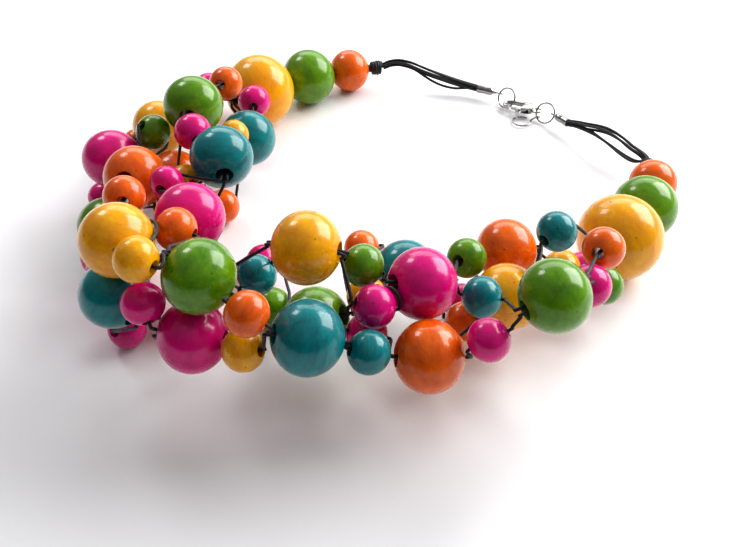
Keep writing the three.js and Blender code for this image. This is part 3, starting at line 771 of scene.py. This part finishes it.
def close_and_smooth(obj, degrees):
    pick(obj)
    bpy.ops.object.mode_set(mode="EDIT")
    bpy.ops.mesh.select_mode(type="VERT")
    bpy.ops.mesh.select_all(action="DESELECT")
    bpy.ops.mesh.select_non_manifold()
    bpy.ops.mesh.fill_holes(sides=0)
    bpy.ops.mesh.select_all(action="SELECT")
    bpy.ops.mesh.normals_make_consistent(inside=False)
    bpy.ops.object.mode_set(mode="OBJECT")
    bpy.ops.object.shade_smooth_by_angle(angle=math.radians(degrees))


def join(objects):
    clear_selection()
    for obj in objects:
        obj.select_set(True)
    bpy.context.view_layer.objects.active = objects[0]
    bpy.ops.object.join()
    return bpy.context.object


def add_cord_ends(materials):
    """A tube pinched round the cords, with a rolled lip, a domed end and a small wire eye."""
    for side, spec in CORD_ENDS.items():
        ring = RINGS[spec["ring"]]
        eye = on_ring(ring, spec["turn"])
        way = (eye - spec["start"]).normalized()
        reach = (eye - spec["start"]).length - 1.3
        barrel = turned_tube([
            (1.2, 2.4), (1.35, 2.2), (1.38, 0.3), (1.46, 0.05), (1.6, 0), (1.72, 0.1), (1.75, 0.3),
            (1.68, 0.7), (1.68, 2.2), (1.58, 2.6), (1.58, 3.4), (1.68, 3.8), (1.68, 5.2),
            (1.6, 5.8), (1.35, 6.4), (0.9, 6.7), (0.5, reach - 0.3), (0.35, reach),
        ], 32)
        close_and_smooth(barrel, 40)
        barrel.data.transform(axis_matrix(way, spec["start"]))
        clear_selection()
        bpy.ops.mesh.primitive_torus_add(major_radius=1.3 * MM, minor_radius=0.3 * MM,
                                         major_segments=40, minor_segments=12)
        loop = bpy.context.object
        bpy.ops.object.shade_smooth()
        wire_way = ring["normal"].cross(eye - ring["centre"])
        normal = (wire_way - way * wire_way.dot(way)).normalized()
        loop.data.transform(axis_matrix(normal, eye))
        obj = join([barrel, loop])
        finish_piece(obj, f"crimped_end_{side}", materials["nickel"],
                     nodes=(f"cord_end_{side}",))


def add_spare_ring(materials):
    """An open ring that lies below the clasp and hooks round the right-hand jump ring."""
    centre = Vector((56.4, 69.9, 0.45))
    points = []
    for degrees in range(50, 366, 15):
        turn = math.radians(degrees)
        up = 0.5 * (degrees - 50) / 315
        points.append(centre + Vector((3.6 * math.cos(turn), 3.6 * math.sin(turn), up)))
    ring = RINGS["right"]
    held = on_ring(ring, 228)
    outward = ring["normal"].normalized()
    inward = (ring["centre"] - held).normalized()
    for degrees in range(0, 181, 45):
        turn = math.radians(degrees)
        points.append(held + (outward * math.cos(turn) + inward * math.sin(turn)) * 1.15)
    wire = cord_curve("spare_ring_wire", smooth_path(points, 4), RING["wire"])
    pick(wire)
    bpy.ops.object.convert(target="MESH")
    finish_piece(bpy.context.object, "spare_ring_wire", materials["nickel"],
                 nodes=("spare_ring",))


CLASP_PLACE = (
    Matrix.Translation(Vector((50.1, 81.35, 2.15)) * MM)
    @ Matrix.Rotation(math.radians(-33), 4, "Z")
    @ Matrix.Rotation(math.radians(-5.5), 4, "Y")
)
PIVOT = (10.6, -0.9)

# outlines of the clasp's cast parts: a start, then straight ends (x, y) or bends (two handles, end)
HOOK = [
    (3.5, -2.5), (1.2, -2.7, 0, -1.4, 0, 0), (0, 2, 1.5, 3, 4, 3), (10.4, 3),
    (12.4, 3, 13.4, 1.8, 13.4, 0), (13.4, -1.6, 12.4, -2.6, 10.8, -2.6), (8.9, -2.6), (8.9, 1),
    (8.9, 1.5, 8.7, 1.7, 8.2, 1.7), (4, 1.7), (2.2, 1.7, 1.2, 1.2, 1.2, 0),
    (1.2, -0.9, 1.9, -1.3, 3.5, -1.25),
]
BLOCK = [
    (8.9, -2.6), (10.8, -2.6), (12.4, -2.6, 13.4, -1.6, 13.4, 0), (13.4, 1.8, 12.4, 3, 10.4, 3),
    (7.5, 3), (7.5, 1.7), (8.2, 1.7), (8.7, 1.7, 8.9, 1.5, 8.9, 1),
]
ARM = [
    (4.4, -2.35), (4.4, -1.45), (8.8, -1.15), (10.6, 0.2), (11.7, -0.3, 11.7, -1.5, 10.6, -2.0),
    (8.8, -2.5), (8.3, -3.3), (7.0, -3.3), (6.3, -2.45),
]
THUMB = [(8.3, -3.3), (7.0, -3.3), (6.3, -2.45), (8.4, -2.5)]


def cast_plate(name, outline, thickness, rounding):
    """A flat outline given its thickness and rounded edges, as a mesh."""
    here = Vector((*outline[0], 0))
    points = [here]
    for row in outline[1:]:
        end = Vector((row[-2], row[-1], 0))
        if len(row) == 6:
            handles = Vector((row[0], row[1], 0)), Vector((row[2], row[3], 0))
            points += [Vector(p) for p in interpolate_bezier(here, *handles, end, 9)[1:]]
        else:
            points.append(end)
        here = end
    if (points[-1] - points[0]).length < 1e-6:
        points.pop()
    curve = bpy.data.curves.new(name, "CURVE")
    curve.dimensions = "2D"
    curve.fill_mode = "BOTH"
    curve.extrude = (thickness / 2 - rounding) * MM
    curve.bevel_depth = rounding * MM
    curve.bevel_resolution = 2
    curve.offset = -rounding * MM
    spline = curve.splines.new("POLY")
    spline.points.add(len(points) - 1)
    for item, point in zip(spline.points, points):
        item.co = (*(point * MM), 1)
    spline.use_cyclic_u = True
    obj = bpy.data.objects.new(name, curve)
    bpy.context.scene.collection.objects.link(obj)
    pick(obj)
    bpy.ops.object.convert(target="MESH")
    obj = bpy.context.object
    bpy.ops.object.mode_set(mode="EDIT")
    bpy.ops.mesh.select_all(action="SELECT")
    bpy.ops.mesh.remove_doubles(threshold=1e-7)
    bpy.ops.mesh.normals_make_consistent(inside=False)
    bpy.ops.object.mode_set(mode="OBJECT")
    return obj


def carve(obj, tool, operation):
    pick(obj)
    modifier = obj.modifiers.new("cut", "BOOLEAN")
    modifier.operation = operation
    modifier.object = tool
    modifier.solver = "EXACT"
    bpy.ops.object.modifier_apply(modifier="cut")
    bpy.data.objects.remove(tool)


def rod(x, y, radius, length):
    """A short pin across the clasp with broken edges."""
    clear_selection()
    bpy.ops.mesh.primitive_cylinder_add(vertices=32, radius=radius * MM, depth=length * MM,
                                        location=(x * MM, y * MM, 0))
    obj = bpy.context.object
    bpy.ops.object.transform_apply(location=True, rotation=False, scale=False)
    pick_vertices(obj, lambda co: True)
    bpy.ops.mesh.bevel(offset=0.08 * MM, segments=2, affect="EDGES")
    bpy.ops.object.mode_set(mode="OBJECT")
    return obj


def add_clasp(materials):
    body = cast_plate("clasp_cast", HOOK, 1.8, 0.4)
    block = cast_plate("clasp_block", BLOCK, 2.6, 0.3)
    clear_selection()
    bpy.ops.mesh.primitive_cube_add(size=1, location=(9.9 * MM, -1.5 * MM, 0))
    slot = bpy.context.object
    slot.scale = (4.6 * MM, 4.4 * MM, 1.5 * MM)
    bpy.ops.object.transform_apply(location=True, rotation=False, scale=True)
    carve(body, block, "UNION")
    carve(body, slot, "DIFFERENCE")
    pin = rod(*PIVOT, 0.45, 2.5)
    clear_selection()
    bpy.ops.mesh.primitive_torus_add(major_radius=1.7 * MM, minor_radius=0.35 * MM,
                                     major_segments=48, minor_segments=12,
                                     location=(14.9 * MM, 0, 0))
    bpy.ops.object.transform_apply(location=True, rotation=False, scale=False)
    eye = bpy.context.object
    clasp = join([body, pin, eye])
    bpy.ops.object.shade_smooth_by_angle(angle=math.radians(40))
    clasp.data.transform(CLASP_PLACE)
    finish_piece(clasp, "clasp_cast_body", materials["nickel"], nodes=("clasp_body",))

    lever = cast_plate("lever_arm", ARM, 0.9, 0.15)
    thumb = cast_plate("lever_thumb", THUMB, 1.8, 0.2)
    clear_selection()
    bpy.ops.mesh.primitive_cylinder_add(vertices=32, radius=0.75 * MM, depth=3 * MM,
                                        location=(PIVOT[0] * MM, PIVOT[1] * MM, 0))
    bore = bpy.context.object
    carve(lever, bore, "DIFFERENCE")
    carve(lever, thumb, "UNION")
    pick(lever)
    bpy.ops.object.shade_smooth_by_angle(angle=math.radians(40))
    lever.data.transform(CLASP_PLACE)
    finish_piece(lever, "clasp_thumb_lever", materials["nickel"], body="lever",
                 nodes=("clasp_lever",))


# ---- table and light ----------------------------------------------------------------------------


def add_table():
    clear_selection()
    bpy.ops.mesh.primitive_plane_add(size=6, location=(0, 0, -0.0002))
    table = bpy.context.object
    table.name = "table_top"
    material, tree, shader = new_material("white_table")
    place = tree.nodes.new("ShaderNodeTexCoord").outputs["Object"]
    tone = noise(tree, place, 3.0, 2.0)
    colour = mixed(tree, tone, (0.86, 0.85, 0.87), (0.9, 0.9, 0.9))
    link(tree, colour, shader.inputs["Base Color"])
    shader.inputs["Roughness"].default_value = 0.6
    table.data.materials.append(material)


def add_light(name, direction, distance, size, energy, colour=(1, 1, 1)):
    """A soft window that looks at the middle of the necklace."""
    way = Vector(direction).normalized()
    target = Vector((0, -0.03, 0.02))
    data = bpy.data.lights.new(name, "AREA")
    data.shape = "RECTANGLE"
    data.size, data.size_y = size
    data.energy = energy
    data.color = colour
    light = bpy.data.objects.new(name, data)
    bpy.context.scene.collection.objects.link(light)
    light.location = target + way * distance
    light.rotation_euler = way.to_track_quat("Z", "Y").to_euler()


def soft_room():
    """Daylight from above and behind, and a darker room on the near side."""
    world = bpy.data.worlds.new("soft_room")
    bpy.context.scene.world = world
    world.use_nodes = True
    tree = world.node_tree
    place = tree.nodes.new("ShaderNodeTexCoord").outputs["Generated"]
    facing = tree.nodes.new("ShaderNodeVectorMath")
    facing.operation = "DOT_PRODUCT"
    facing.inputs[1].default_value = (0.25, 0.45, 0.85)
    link(tree, place, facing.inputs[0])
    glow = tree.nodes.new("ShaderNodeMapRange")
    glow.inputs["From Min"].default_value = -0.35
    glow.inputs["From Max"].default_value = 0.9
    glow.inputs["To Min"].default_value = 0.03
    glow.inputs["To Max"].default_value = 0.5
    link(tree, facing.outputs["Value"], glow.inputs["Value"])
    background = tree.nodes["Background"]
    background.inputs["Color"].default_value = (0.96, 0.97, 1.0, 1)
    link(tree, glow.outputs["Result"], background.inputs["Strength"])


def add_studio():
    add_table()
    add_light("right_window", (0.74, 0.38, 0.57), 1.0, (0.8, 0.7), 12.5)
    add_light("back_left_window", (-0.5, 0.55, 0.66), 1.1, (0.25, 0.3), 2.0)
    add_light("back_sky", (0.1, 0.95, 0.6), 1.3, (1.4, 0.6), 6.5)
    soft_room()


# ---- build --------------------------------------------------------------------------------------

add_camera()
materials = make_materials()
add_neck_cords(materials)
balls = lay_out_balls()
add_threads(cord_routes(balls), materials)
add_knots(balls, materials)
add_balls(balls, materials)
add_jump_rings(materials)
add_cord_ends(materials)
add_spare_ring(materials)
add_clasp(materials)
add_studio()
bpy.context.scene.view_settings.view_transform = "Standard"
bpy.context.scene.view_settings.look = "Medium High Contrast"
